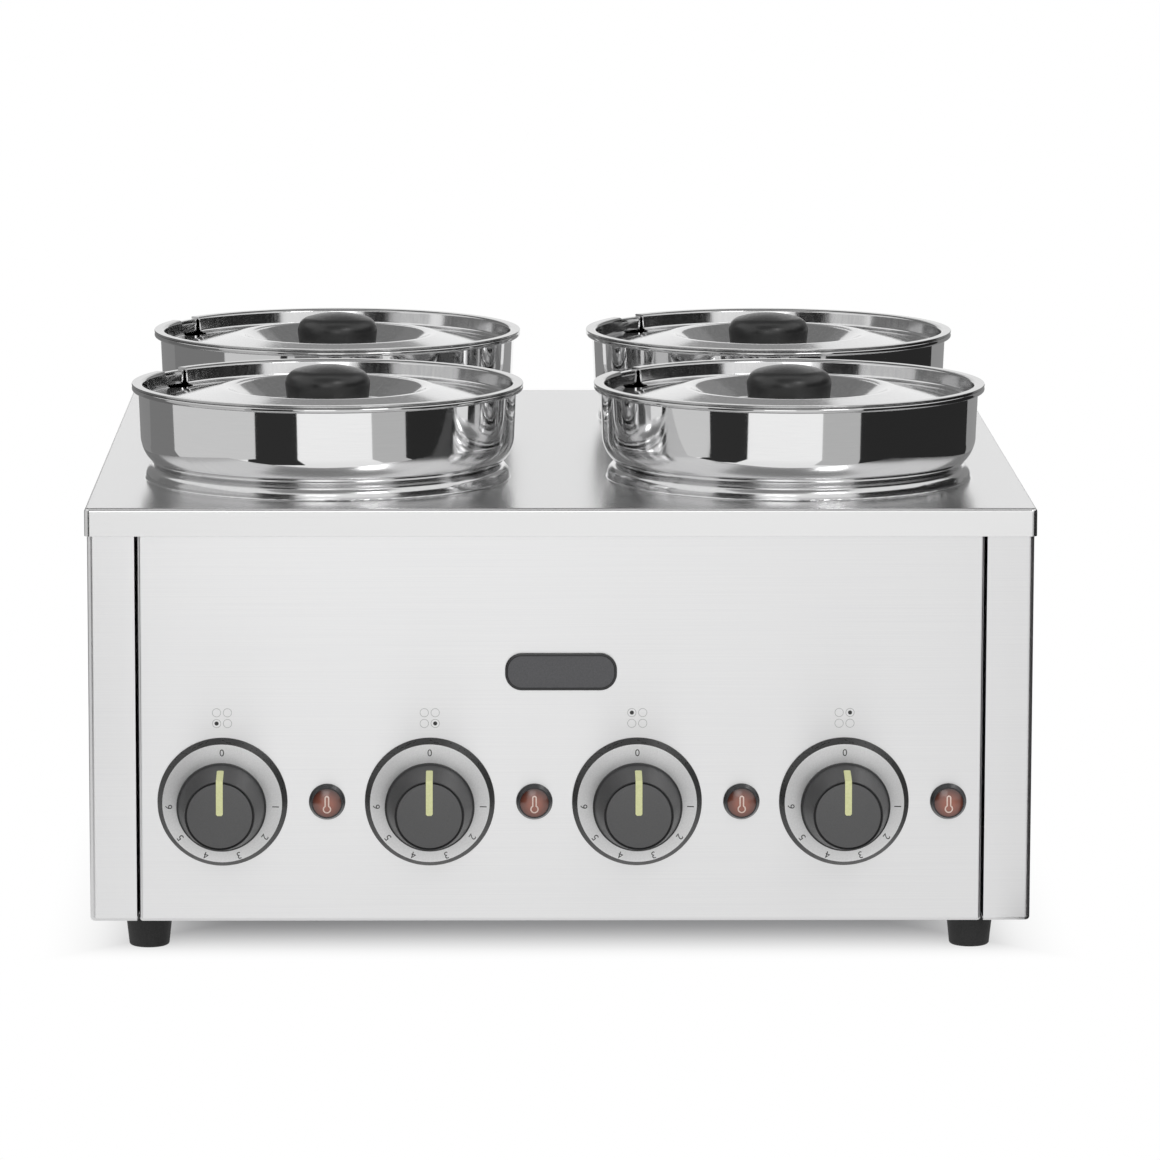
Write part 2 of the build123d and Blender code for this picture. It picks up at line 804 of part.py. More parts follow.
os.makedirs("parts", exist_ok=True)
for name, piece in pieces.items():
    export_step(Pos(0, footprint_shift, 0) * piece, f"parts/{name}.step")
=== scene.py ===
from math import asin, atan2, cos, pi, radians, sin, sqrt, tan
import bmesh
import bpy
from mathutils import Matrix, Vector


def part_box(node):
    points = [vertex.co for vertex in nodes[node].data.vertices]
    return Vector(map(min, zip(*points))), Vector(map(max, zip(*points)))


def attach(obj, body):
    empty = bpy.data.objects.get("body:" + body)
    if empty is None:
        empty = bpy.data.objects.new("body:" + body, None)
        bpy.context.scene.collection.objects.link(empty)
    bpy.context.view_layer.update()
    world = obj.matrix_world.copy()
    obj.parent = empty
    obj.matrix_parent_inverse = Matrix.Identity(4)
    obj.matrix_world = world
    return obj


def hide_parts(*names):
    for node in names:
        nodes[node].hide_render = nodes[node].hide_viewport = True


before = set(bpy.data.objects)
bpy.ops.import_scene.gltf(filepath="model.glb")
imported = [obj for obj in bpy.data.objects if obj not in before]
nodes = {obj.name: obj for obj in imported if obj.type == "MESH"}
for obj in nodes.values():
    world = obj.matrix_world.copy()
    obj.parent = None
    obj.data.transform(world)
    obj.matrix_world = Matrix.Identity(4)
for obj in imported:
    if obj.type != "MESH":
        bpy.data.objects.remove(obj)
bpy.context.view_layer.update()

stations = ("front_left", "front_right", "back_left", "back_right")

# Camera
# A long lens on a stand 3.6 m in front of the unit, a little above it and a hand's width to its left.
camera_data = bpy.data.cameras.new("camera")
camera_data.lens = 200.18
camera_data.sensor_width = 36.0
camera_pitch = 0.154393
camera_yaw = 0.016469
camera_roll = 0.002310
camera_place = (-0.0457, -3.6190, 0.7305)
camera = bpy.data.objects.new("camera", camera_data)
camera_turn = Matrix.Rotation(-camera_yaw, 4, "Z")
camera_turn = camera_turn @ Matrix.Rotation(pi / 2 - camera_pitch, 4, "X")
camera_turn = camera_turn @ Matrix.Rotation(camera_roll, 4, "Z")
camera.matrix_world = Matrix.Translation(camera_place) @ camera_turn
bpy.context.scene.collection.objects.link(camera)
bpy.context.scene.camera = camera
bpy.context.scene.view_settings.view_transform = "Standard"

# Casing
# The deck, the wrap, the front panel and the base plate are cut from stainless sheet about 1 mm thick,
# folded on a press and screwed together. The outside is satin brushed along the sheet, the deck's top is
# polished after its collars are pressed up, and the base plate is left as rolled.


def plain_finish(name, colour, roughness, metallic=1.0):
    """Principled material with plain values, returned with its node tree and shader."""
    material = bpy.data.materials.new(name)
    material.use_nodes = True
    shader = material.node_tree.nodes["Principled BSDF"]
    shader.inputs["Base Color"].default_value = (*colour, 1)
    shader.inputs["Metallic"].default_value = metallic
    shader.inputs["Roughness"].default_value = roughness
    return material, material.node_tree, shader


def grain(tree, scale, detail=3.0):
    """Noise in the object's own metres, stretched by a scale along each axis."""
    place = tree.nodes.new("ShaderNodeTexCoord")
    stretch = tree.nodes.new("ShaderNodeMapping")
    stretch.inputs["Scale"].default_value = scale
    noise = tree.nodes.new("ShaderNodeTexNoise")
    noise.inputs["Scale"].default_value = 1.0
    noise.inputs["Detail"].default_value = detail
    tree.links.new(place.outputs["Object"], stretch.inputs["Vector"])
    tree.links.new(stretch.outputs["Vector"], noise.inputs["Vector"])
    return noise.outputs["Fac"]


def spread(tree, value, socket, low, high):
    """Drive a shader socket between two numbers by a noise value."""
    limits = tree.nodes.new("ShaderNodeMapRange")
    limits.inputs["From Min"].default_value = 0.3
    limits.inputs["From Max"].default_value = 0.7
    limits.inputs["To Min"].default_value = low
    limits.inputs["To Max"].default_value = high
    tree.links.new(value, limits.inputs["Value"])
    tree.links.new(limits.outputs["Result"], socket)


def tint(tree, value, socket, dark, light):
    """Drive a colour socket between two colours by a noise value."""
    ramp = tree.nodes.new("ShaderNodeValToRGB")
    ramp.color_ramp.elements[0].position = 0.3
    ramp.color_ramp.elements[1].position = 0.7
    ramp.color_ramp.elements[0].color = (*dark, 1)
    ramp.color_ramp.elements[1].color = (*light, 1)
    tree.links.new(value, ramp.inputs["Fac"])
    tree.links.new(ramp.outputs["Color"], socket)


def by_height(tree, socket, low, high):
    """Drive a socket from 0 to 1 between two heights on the object."""
    place = tree.nodes.new("ShaderNodeTexCoord")
    heights = tree.nodes.new("ShaderNodeSeparateXYZ")
    limits = tree.nodes.new("ShaderNodeMapRange")
    limits.inputs["From Min"].default_value = low
    limits.inputs["From Max"].default_value = high
    tree.links.new(place.outputs["Object"], heights.inputs["Vector"])
    tree.links.new(heights.outputs["Z"], limits.inputs["Value"])
    tree.links.new(limits.outputs["Result"], socket)


def relief(tree, value, shader, depth):
    """Fine bump of a depth in metres."""
    bump = tree.nodes.new("ShaderNodeBump")
    bump.inputs["Strength"].default_value = 1.0
    bump.inputs["Distance"].default_value = depth
    tree.links.new(value, bump.inputs["Height"])
    tree.links.new(bump.outputs["Normal"], shader.inputs["Normal"])


def wear(node_object, material):
    """Give a CAD piece its finish."""
    node_object.data.materials.clear()
    node_object.data.materials.append(material)


satin_steel, tree, shader = plain_finish("satin_brushed_steel", (0.80, 0.80, 0.80), 0.34)
brushing = grain(tree, (9, 9, 2600))
tint(tree, brushing, shader.inputs["Base Color"], (0.78, 0.78, 0.785), (0.82, 0.82, 0.82))
spread(tree, brushing, shader.inputs["Roughness"], 0.29, 0.39)
relief(tree, brushing, shader, 0.000004)
shader.inputs["Anisotropic"].default_value = 0.8
shader.inputs["Anisotropic Rotation"].default_value = 0.25
for name in ("body_wrap", "front_panel"):
    wear(nodes[name], satin_steel)

deck_steel, tree, shader = plain_finish("polished_deck_steel", (0.62, 0.62, 0.62), 0.22)
deck_low, deck_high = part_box("top_deck")
pot_low, pot_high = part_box("back_right_pot")
deck_middle = (deck_low + deck_high) / 2
collar_offset = (pot_low + pot_high) / 2 - deck_middle
collar_height = 0.0076
collar_foot = 0.1002
deck_level = deck_high.z - collar_height
polish = grain(tree, (14, 900, 900))
place = tree.nodes.new("ShaderNodeTexCoord")
centred = tree.nodes.new("ShaderNodeVectorMath")
centred.operation = "SUBTRACT"
centred.inputs[1].default_value = (deck_middle.x, deck_middle.y, 0)
folded = tree.nodes.new("ShaderNodeVectorMath")
folded.operation = "ABSOLUTE"
outwards = tree.nodes.new("ShaderNodeVectorMath")
outwards.operation = "SUBTRACT"
outwards.inputs[1].default_value = (collar_offset.x, collar_offset.y, 0)
level = tree.nodes.new("ShaderNodeVectorMath")
level.operation = "MULTIPLY"
level.inputs[1].default_value = (1, 1, 0)
reach = tree.nodes.new("ShaderNodeVectorMath")
reach.operation = "LENGTH"
collar_polish = tree.nodes.new("ShaderNodeMapRange")
collar_polish.inputs["From Min"].default_value = collar_foot
collar_polish.inputs["From Max"].default_value = collar_foot + 0.001
collar_polish.inputs["To Min"].default_value = 0.75
collar_polish.inputs["To Max"].default_value = 1.0
polish_depth = tree.nodes.new("ShaderNodeMapRange")
polish_depth.inputs["To Min"].default_value = 0.19
polish_depth.inputs["To Max"].default_value = 0.26
roughness = tree.nodes.new("ShaderNodeMath")
roughness.operation = "MULTIPLY"
skirt_mix = tree.nodes.new("ShaderNodeMix")
skirt_mix.data_type = "RGBA"
skirt_mix.inputs["A"].default_value = (0.82, 0.82, 0.82, 1)
tree.links.new(place.outputs["Object"], centred.inputs[0])
tree.links.new(centred.outputs["Vector"], folded.inputs[0])
tree.links.new(folded.outputs["Vector"], outwards.inputs[0])
tree.links.new(outwards.outputs["Vector"], level.inputs[0])
tree.links.new(level.outputs["Vector"], reach.inputs[0])
tree.links.new(reach.outputs["Value"], collar_polish.inputs["Value"])
tree.links.new(polish, polish_depth.inputs["Value"])
tree.links.new(collar_polish.outputs["Result"], roughness.inputs[0])
tree.links.new(polish_depth.outputs["Result"], roughness.inputs[1])
tree.links.new(roughness.outputs["Value"], shader.inputs["Roughness"])
by_height(tree, skirt_mix.inputs["Factor"], deck_level - 0.0020, deck_level - 0.0004)
tint(tree, polish, skirt_mix.inputs["B"], (0.64, 0.64, 0.645), (0.69, 0.69, 0.69))
tree.links.new(skirt_mix.outputs["Result"], shader.inputs["Base Color"])
wear(nodes["top_deck"], deck_steel)

rolled_steel, tree, shader = plain_finish("rolled_base_steel", (0.60, 0.60, 0.61), 0.45)
rolling = grain(tree, (40, 900, 40))
tint(tree, rolling, shader.inputs["Base Color"], (0.55, 0.55, 0.56), (0.64, 0.64, 0.65))
spread(tree, rolling, shader.inputs["Roughness"], 0.38, 0.52)
wear(nodes["base_plate"], rolled_steel)

# Feet, screws and mains entry
# Four moulded rubber feet hold the casing off the table by screws through the base plate. Zinc-plated
# slotted screws close the base, and the cable comes in by a black nylon gland to a white terminal block.
foot_rubber, tree, shader = plain_finish("black_foot_rubber", (0.022, 0.022, 0.022), 0.7, 0.0)
pores = grain(tree, (1500, 1500, 1500), 4.0)
tint(tree, pores, shader.inputs["Base Color"], (0.016, 0.016, 0.016), (0.03, 0.03, 0.03))
relief(tree, pores, shader, 0.00003)
wear(nodes["rubber_feet"], foot_rubber)

zinc, tree, shader = plain_finish("zinc_plating", (0.63, 0.65, 0.67), 0.33)
spangle = grain(tree, (700, 700, 700))
tint(tree, spangle, shader.inputs["Base Color"], (0.55, 0.57, 0.58), (0.70, 0.71, 0.72))
spread(tree, spangle, shader.inputs["Roughness"], 0.26, 0.42)
for name in ("foot_screws", "casing_screws", "thermostat_nuts"):
    wear(nodes[name], zinc)

nylon, tree, shader = plain_finish("black_gland_nylon", (0.02, 0.02, 0.021), 0.5, 0.0)
moulding = grain(tree, (900, 900, 900))
spread(tree, moulding, shader.inputs["Roughness"], 0.42, 0.58)
relief(tree, moulding, shader, 0.00002)
for name in ("cable_gland", "gland_locknut"):
    wear(nodes[name], nylon)

white_insulator, tree, shader = plain_finish("white_terminal_insulator", (0.78, 0.77, 0.72), 0.4, 0.0)
clouding = grain(tree, (300, 300, 300))
tint(tree, clouding, shader.inputs["Base Color"], (0.74, 0.73, 0.68), (0.81, 0.80, 0.76))
wear(nodes["terminal_block"], white_insulator)

# Wells, heating elements and thermostats
# Each well is drawn from stainless sheet and welded under the deck. A tubular element is pressed to its
# floor, and the capillary thermostat's plated case is held behind the panel by its bushing.
well_steel, tree, shader = plain_finish("drawn_well_steel", (0.66, 0.66, 0.66), 0.3)
drawing = grain(tree, (120, 120, 900))
tint(tree, drawing, shader.inputs["Base Color"], (0.60, 0.60, 0.60), (0.70, 0.70, 0.70))
spread(tree, drawing, shader.inputs["Roughness"], 0.22, 0.40)

element_sheath, tree, shader = plain_finish("heated_element_sheath", (0.30, 0.28, 0.26), 0.5)
scale_marks = grain(tree, (250, 250, 250), 5.0)
tint(tree, scale_marks, shader.inputs["Base Color"], (0.20, 0.17, 0.15), (0.40, 0.38, 0.36))
spread(tree, scale_marks, shader.inputs["Roughness"], 0.4, 0.65)

plated_case, tree, shader = plain_finish("plated_thermostat_case", (0.62, 0.63, 0.64), 0.38)
plating = grain(tree, (400, 400, 400))
spread(tree, plating, shader.inputs["Roughness"], 0.3, 0.48)

for station in stations:
    wear(nodes[f"{station}_well"], well_steel)
    wear(nodes[f"{station}_heating_element"], element_sheath)
    wear(nodes[f"{station}_thermostat"], plated_case)
    wear(nodes[f"{station}_thermostat_shaft"], zinc)

# Pots
# Deep-drawn stainless pots, stepped so that they hang by the shoulder on the deck's collars. The rim is
# rolled outwards and coloured darker than the wall as painted shade, for the darker things it reflects; the
# wall is polished to a mirror.
pot_centres = {}
for station in stations:
    low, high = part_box(f"{station}_pot")
    pot_centres[station] = ((low.x + high.x) / 2, (low.y + high.y) / 2)
pot_floor = low.z
pot_rim_top = high.z
pot_rim_radius = (high.x - low.x) / 2
pot_sheet = 0.0009
pot_neck = 0.0922
pot_wall = 0.1035
pot_taper = 0.0011
pot_foot_bend = 0.014
pot_rim_height = 0.0030
pot_rim_roll = 0.0014
pot_rim_inner_roll = 0.0006
pot_seat = pot_floor + 0.1276
pot_seat_bevel = 0.0012
pot_wall_start = pot_seat + 0.0149
pot_seat_edge = pot_neck + 0.0017


def rounded(corners, steps=8):
    """Outline through corners given as (radius, height, rounding), with each corner turned into an arc."""
    outline = []
    for number, (radius, height, bend) in enumerate(corners):
        corner = Vector((radius, height))
        if bend == 0:
            outline.append(corner)
            continue
        before = (Vector(corners[number - 1][:2]) - corner).normalized()
        after = (Vector(corners[(number + 1) % len(corners)][:2]) - corner).normalized()
        half = before.angle(after) / 2
        centre = corner + (before + after).normalized() * bend / sin(half)
        start = corner + before * bend / tan(half) - centre
        end = corner + after * bend / tan(half) - centre
        for step in range(steps + 1):
            share = step / steps
            swing = pi - 2 * half
            outline.append(
                centre + start * sin((1 - share) * swing) / sin(swing) + end * sin(share * swing) / sin(swing)
            )
    return outline


def add_piece(name, mesh_data, body, materials, sharp=35, place=(0, 0, 0)):
    """Object made of a bmesh, smooth except at its sharp edges, riding on a body."""
    data = bpy.data.meshes.new(name)
    bmesh.ops.recalc_face_normals(mesh_data, faces=mesh_data.faces)
    mesh_data.to_mesh(data)
    mesh_data.free()
    for material in materials:
        data.materials.append(material)
    data.shade_smooth()
    data.set_sharp_from_angle(angle=radians(sharp))
    piece = bpy.data.objects.new(name, data)
    piece.location = place
    bpy.context.scene.collection.objects.link(piece)
    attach(piece, body)
    return piece


def even_shading(piece):
    """Let the large faces of a polished piece set its shading, so that reflections run straight."""
    weighting = piece.modifiers.new("even_shading", "WEIGHTED_NORMAL")
    weighting.weight = 100
    weighting.keep_sharp = True


def lathed(outline, centre, turns=192, closed=True):
    """Bmesh of an outline of (radius, height) turned about an upright axis."""
    mesh = bmesh.new()
    rings = []
    for radius, height in outline:
        if radius < 1e-6:
            rings.append([mesh.verts.new((*centre, height))] * turns)
            continue
        ring = []
        for step in range(turns):
            angle = 2 * pi * step / turns
            x = centre[0] + radius * cos(angle)
            y = centre[1] + radius * sin(angle)
            ring.append(mesh.verts.new((x, y, height)))
        rings.append(ring)
    pairs = list(zip(rings, rings[1:]))
    if closed:
        pairs.append((rings[-1], rings[0]))
    for ring, following in pairs:
        for step in range(turns):
            corners = (ring[step - 1], ring[step], following[step], following[step - 1])
            corners = list(dict.fromkeys(corners))
            if len(corners) > 2:
                mesh.faces.new(corners)
    return mesh


def pot_profile(inset):
    """Pot's outer face, or its inner one, from the axis out and up to the wall below the rim."""
    lean = atan2(pot_taper, pot_rim_top - pot_rim_height - pot_wall_start)
    inward = Vector((-cos(lean), sin(lean)))
    wall_foot = Vector((pot_wall - pot_taper, pot_wall_start))
    span = wall_foot - Vector((pot_seat_edge, pot_seat))
    bulge = -span.length_squared / (2 * span.dot(inward))
    centre = wall_foot + inward * bulge
    swing = asin((centre.y - pot_seat) / bulge) - lean
    lower = rounded([
        (0, pot_floor + inset, 0),
        (pot_neck - inset, pot_floor + inset, pot_foot_bend - inset),
        (pot_neck - inset, pot_seat + inset - pot_seat_bevel, 0),
    ])
    shoulder = []
    for step in range(25):
        angle = -lean - swing * (1 - step / 24)
        shoulder.append(centre + Vector((cos(angle), sin(angle))) * (bulge - inset))
    return lower + shoulder


pot_mirror, tree, shader = plain_finish("mirror_polished_pot", (0.83, 0.83, 0.83), 0.05)
buffing = grain(tree, (60, 60, 1400))
spread(tree, buffing, shader.inputs["Roughness"], 0.04, 0.055)
rim_foot = pot_rim_top - pot_rim_height
# Above the rim's foot the colour drops to a darker grey: painted shade for the darker things the rim reflects.
rim_painted_shade = tree.nodes.new("ShaderNodeMix")
rim_painted_shade.data_type = "RGBA"
rim_painted_shade.inputs["B"].default_value = (0.58, 0.58, 0.58, 1)
tint(tree, buffing, rim_painted_shade.inputs["A"], (0.82, 0.82, 0.823), (0.84, 0.84, 0.84))
by_height(tree, rim_painted_shade.inputs["Factor"], rim_foot - 0.0004, rim_foot + 0.0001)
tree.links.new(rim_painted_shade.outputs["Result"], shader.inputs["Base Color"])
for station in stations:
    outer = pot_profile(0)
    inner = pot_profile(pot_sheet)
    rim = rounded([
        (pot_wall, rim_foot, 0),
        (pot_rim_radius, rim_foot, pot_rim_roll),
        (pot_rim_radius, pot_rim_top, pot_rim_roll),
        (pot_wall - pot_sheet, pot_rim_top, pot_rim_inner_roll),
    ])
    rim.append(Vector((pot_wall - pot_sheet, rim_foot + 0.0005)))
    pot = add_piece(
        f"{station}_pot_shell",
        lathed(outer + rim + inner[::-1], pot_centres[station], closed=False),
        f"{station}_pot_body",
        [pot_mirror],
    )
    even_shading(pot)
    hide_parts(f"{station}_pot")

# Lids
# Pressed stainless lids that drop into the pots and rest on the rims by a lip, which is coloured darker
# than the crown as painted shade for the darker things it reflects. A ladle notch is cut from the lip, and the
# crown is dished round the knob.
lid_sheet = 0.0008
lid_lip = pot_rim_top + 0.0012
lid_lip_edge = 0.0005
lid_bend = 0.002
lid_drop = 0.1011
lid_taper = 0.0012
lid_trough = lid_lip - 0.009
lid_trough_edge = 0.0881
lid_crest_radius = 0.055
lid_crest_bend = 0.009
lid_crest = lid_trough + 0.0072
lid_dish = lid_crest - 0.0107
lid_dish_radius = 0.040
lid_dish_bend = 0.004
notch_angles = {"front_left": 148, "front_right": 148, "back_left": 151, "back_right": 141}
notch_half_width = 0.0105
notch_centre = 0.102
notch_end = 0.13


def lid_profile():
    """Closed outline of the lid's sheet, over the top from the lip to the axis and back underneath."""
    crown = rounded([
        (pot_rim_radius - lid_lip_edge, lid_lip, 0),
        (lid_drop, lid_lip, lid_bend),
        (lid_drop - lid_taper, lid_trough, lid_bend),
        (lid_trough_edge, lid_trough, lid_bend),
        (lid_crest_radius, lid_crest, lid_crest_bend),
        (lid_dish_radius, lid_dish, lid_dish_bend),
        (0, lid_dish, 0),
    ])
    under = rounded([
        (0, lid_dish - lid_sheet, 0),
        (lid_dish_radius + 0.0003, lid_dish - lid_sheet, lid_dish_bend + lid_sheet),
        (lid_crest_radius, lid_crest - 0.0009, lid_crest_bend - lid_sheet),
        (lid_trough_edge, lid_trough - lid_sheet, lid_bend + lid_sheet),
        (lid_drop - lid_taper + lid_sheet, lid_trough - lid_sheet, lid_bend + lid_sheet),
        (lid_drop + lid_sheet, pot_rim_top, lid_bend - lid_sheet),
        (pot_rim_radius, pot_rim_top, lid_lip_edge),
        (pot_rim_radius, lid_lip, lid_lip_edge),
        (lid_drop, lid_lip, 0),
    ])[:-1]
    return crown[1:] + under


def cut_notch(piece, centre, angle):
    """Cut the half-round ladle notch through the lip."""
    cutter = bmesh.new()
    sides = [(notch_end, -notch_half_width), (notch_end, notch_half_width)]
    for step in range(33):
        turn = pi / 2 + pi * step / 32
        sides.append((notch_centre + notch_half_width * cos(turn), notch_half_width * sin(turn)))
    spin = Matrix.Rotation(radians(angle), 2)
    sides = [spin @ Vector(side) + Vector(centre) for side in sides]
    loops = [[cutter.verts.new((*side, height)) for side in sides] for height in (lid_dish, lid_lip + 0.01)]
    cutter.faces.new(loops[0])
    cutter.faces.new(loops[1])
    for number in range(len(sides)):
        cutter.faces.new((loops[0][number - 1], loops[0][number], loops[1][number], loops[1][number - 1]))
    bmesh.ops.recalc_face_normals(cutter, faces=cutter.faces)
    data = bpy.data.meshes.new("notch_cutter")
    cutter.to_mesh(data)
    cutter.free()
    tool = bpy.data.objects.new("notch_cutter", data)
    bpy.context.scene.collection.objects.link(tool)
    cut = piece.modifiers.new("notch", "BOOLEAN")
    cut.object = tool
    cut.solver = "EXACT"
    result = piece.evaluated_get(bpy.context.evaluated_depsgraph_get())
    shape = bpy.data.meshes.new_from_object(result)
    piece.modifiers.clear()
    piece.data = shape
    shape.set_sharp_from_angle(angle=radians(35))
    bpy.data.objects.remove(tool)


lid_polish, tree, shader = plain_finish("polished_lid", (0.70, 0.70, 0.70), 0.12)
buffing = grain(tree, (500, 500, 90))
spread(tree, buffing, shader.inputs["Roughness"], 0.09, 0.16)
# Near the lip's top the colour drops to a darker grey: painted shade for the darker things the lip reflects.
lip_painted_shade = tree.nodes.new("ShaderNodeMix")
lip_painted_shade.data_type = "RGBA"
lip_painted_shade.inputs["B"].default_value = (0.46, 0.46, 0.46, 1)
tint(tree, buffing, lip_painted_shade.inputs["A"], (0.67, 0.67, 0.675), (0.73, 0.73, 0.73))
by_height(tree, lip_painted_shade.inputs["Factor"], lid_lip - 0.0014, lid_lip - 0.0008)
tree.links.new(lip_painted_shade.outputs["Result"], shader.inputs["Base Color"])
for station in stations:
    lid = add_piece(
        f"{station}_lid_shell",
        lathed(lid_profile(), pot_centres[station]),
        f"{station}_lid_body",
        [lid_polish],
    )
    cut_notch(lid, pot_centres[station], notch_angles[station])
    even_shading(lid)
    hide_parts(f"{station}_lid")
    wear(nodes[f"{station}_lid_screw"], zinc)

# Lid knobs
# Moulded black phenolic knobs, domed on top and widest just below the dome, drawn down into the dish by
# one screw from underneath.
lid_knob_foot = 0.022
lid_knob_radius = 0.0239
lid_knob_waist = 0.0168
lid_knob_dome = 0.0180
knob_phenolic, tree, shader = plain_finish("black_phenolic", (0.013, 0.013, 0.013), 0.34, 0.0)
mottle = grain(tree, (600, 600, 600))
spread(tree, mottle, shader.inputs["Roughness"], 0.28, 0.40)
relief(tree, mottle, shader, 0.00001)
shader.inputs["Specular IOR Level"].default_value = 0.6
for station in stations:
    low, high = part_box(f"{station}_lid_knob")
    widest = low.z + lid_knob_waist
    dome_rise = high.z - widest
    dome = (lid_knob_radius ** 2 + dome_rise ** 2) / (2 * dome_rise)
    corners = [(0, low.z, 0), (lid_knob_foot, low.z, 0.0006), (lid_knob_radius, widest, 0.008)]
    for step in range(13):
        radius = lid_knob_dome * (1 - step / 12)
        corners.append((radius, high.z - dome + sqrt(dome ** 2 - radius ** 2), 0))
    outline = rounded(corners, 12)
    knob = add_piece(
        f"{station}_lid_knob_moulding",
        lathed(outline, pot_centres[station], 96, closed=False),
        f"{station}_lid_body",
        [knob_phenolic],
        60,
    )
    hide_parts(f"{station}_lid_knob")

# Dial rings
# Moulded dark rings with a silver foil face that carries the scale, held by the thermostat's nut behind
# the knob. The numbers are printed black, with their tops outwards.
dial_places = {}
for station in stations:
    low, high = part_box(f"{station}_dial_ring")
    dial_places[station] = Vector(((low.x + high.x) / 2, high.y, (low.z + high.z) / 2))
ring_radius = 0.0346
ring_face_radius = 0.0319
ring_height = 0.0056
ring_recess = 0.012
ring_floor = 0.002
ring_hole = 0.0051


def facing_front(mesh, place):
    """Turn a piece made about an upright axis so that it stands out from the front panel at a place."""
    stand = Matrix.Translation(place) @ Matrix.Rotation(pi / 2, 4, "X")
    bmesh.ops.transform(mesh, matrix=stand, verts=mesh.verts)
    return mesh


ring_edge_plastic, tree, shader = plain_finish("dark_ring_edge", (0.028, 0.028, 0.028), 0.3, 0.0)
scuffs = grain(tree, (400, 400, 400))
spread(tree, scuffs, shader.inputs["Roughness"], 0.24, 0.38)

ring_foil, tree, shader = plain_finish("silver_ring_foil", (0.80, 0.80, 0.80), 0.40, 0.85)
speckle = grain(tree, (1300, 1300, 1300), 2.0)
tint(tree, speckle, shader.inputs["Base Color"], (0.76, 0.76, 0.76), (0.84, 0.84, 0.84))
spread(tree, speckle, shader.inputs["Roughness"], 0.36, 0.46)
shader.inputs["Anisotropic"].default_value = 0.8
shader.inputs["Anisotropic Rotation"].default_value = 0.25
round_grain = tree.nodes.new("ShaderNodeTangent")
round_grain.direction_type = "RADIAL"
round_grain.axis = "Y"
tree.links.new(round_grain.outputs["Tangent"], shader.inputs["Tangent"])

scale_ink, tree, shader = plain_finish("black_scale_ink", (0.02, 0.02, 0.02), 0.55, 0.0)
ink_grain = grain(tree, (2500, 2500, 2500))
tint(tree, ink_grain, shader.inputs["Base Color"], (0.012, 0.012, 0.012), (0.04, 0.04, 0.04))

scale_angles = (0, 91.5, 127, 162, 198, 232, 268.5)
scale_radius = 0.0282
scale_drop = 0.0011
digit_height = 0.0038
for station in stations:
    place = dial_places[station]
    outline = [Vector((ring_hole, 0)), Vector((ring_radius, 0))]
    outline += rounded([
        (ring_radius, 0.0000, 0),
        (ring_radius, 0.0008, 0.0003),
        (ring_face_radius, ring_height, 0.0003),
        (ring_face_radius - 0.002, ring_height, 0),
    ], 3)[1:]
    outline += [Vector((ring_recess, ring_height)), Vector((ring_recess, ring_floor))]
    outline.append(Vector((ring_hole, ring_floor)))
    mesh = lathed(outline, (0, 0), 128)
    for face in mesh.faces:
        middle = face.calc_center_median()
        on_face = middle.z > ring_height - 0.00004
        face.material_index = 1 if on_face and middle.xy.length > ring_recess else 0
    ring = add_piece(
        f"{station}_dial_ring_moulding",
        facing_front(mesh, (0, 0, 0)),
        "casing",
        [ring_edge_plastic, ring_foil],
        30,
        place,
    )
    even_shading(ring)
    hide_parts(f"{station}_dial_ring")

    digits = bmesh.new()
    for number, angle in enumerate(scale_angles):
        text = bpy.data.curves.new("digit", "FONT")
        text.body = str(number)
        text.size = digit_height * 1.4
        text.align_x = "CENTER"
        text.align_y = "CENTER"
        text.extrude = 0.00002
        holder = bpy.data.objects.new("digit", text)
        glyph = bpy.data.meshes.new_from_object(holder)
        spin = Matrix.Rotation(radians(-angle), 4, "Z") @ Matrix.Translation((0, scale_radius, ring_height))
        glyph.transform(Matrix.Translation((0, -scale_drop, 0)) @ spin)
        digits.from_mesh(glyph)
        bpy.data.meshes.remove(glyph)
        bpy.data.objects.remove(holder)
    scale = add_piece(f"{station}_dial_numbers", facing_front(digits, place), "casing", [scale_ink])

# Control knobs
# Hollow moulded knobs pushed on the flatted thermostat shafts, with a bead round the skirt and a cone up to
# a groove and a satin cap, coloured lighter than the cone as painted light for the front light the cap
# catches. A moulded-in stripe points up the cone and across the cap.
knob_start = 0.0066
knob_bore = 0.0065
knob_web = 0.0034
knob_bead = 0.02385
knob_bead_low = 0.0158
knob_bead_high = 0.0176
knob_cone_foot = 0.0230
knob_cone_end = (0.0184, 0.0412)
knob_groove_floor = 0.0393
knob_groove_width = 0.0009
knob_face = (0.0172, 0.0427)
knob_back_radius = 0.0216
knob_wall = 0.002
face_dome = 0.0012
stripe_half = 0.0018
stripe_proud = 0.00025

knob_plastic, tree, shader = plain_finish("dark_knob_plastic", (0.034, 0.034, 0.035), 0.36, 0.0)
moulding = grain(tree, (1800, 1800, 1800), 4.0)
tint(tree, moulding, shader.inputs["Base Color"], (0.030, 0.030, 0.031), (0.038, 0.038, 0.039))
spread(tree, moulding, shader.inputs["Roughness"], 0.31, 0.42)
relief(tree, moulding, shader, 0.000006)
shader.inputs["Specular IOR Level"].default_value = 0.3

# The cap is a lighter copy of the knob's dark plastic: painted light for the front light the face catches.
front_lit_cap_plastic, tree, shader = plain_finish("painted_lit_knob_cap", (0.075, 0.075, 0.076), 0.45, 0.0)
moulding = grain(tree, (1800, 1800, 1800), 4.0)
tint(tree, moulding, shader.inputs["Base Color"], (0.068, 0.068, 0.069), (0.082, 0.082, 0.083))
spread(tree, moulding, shader.inputs["Roughness"], 0.40, 0.50)

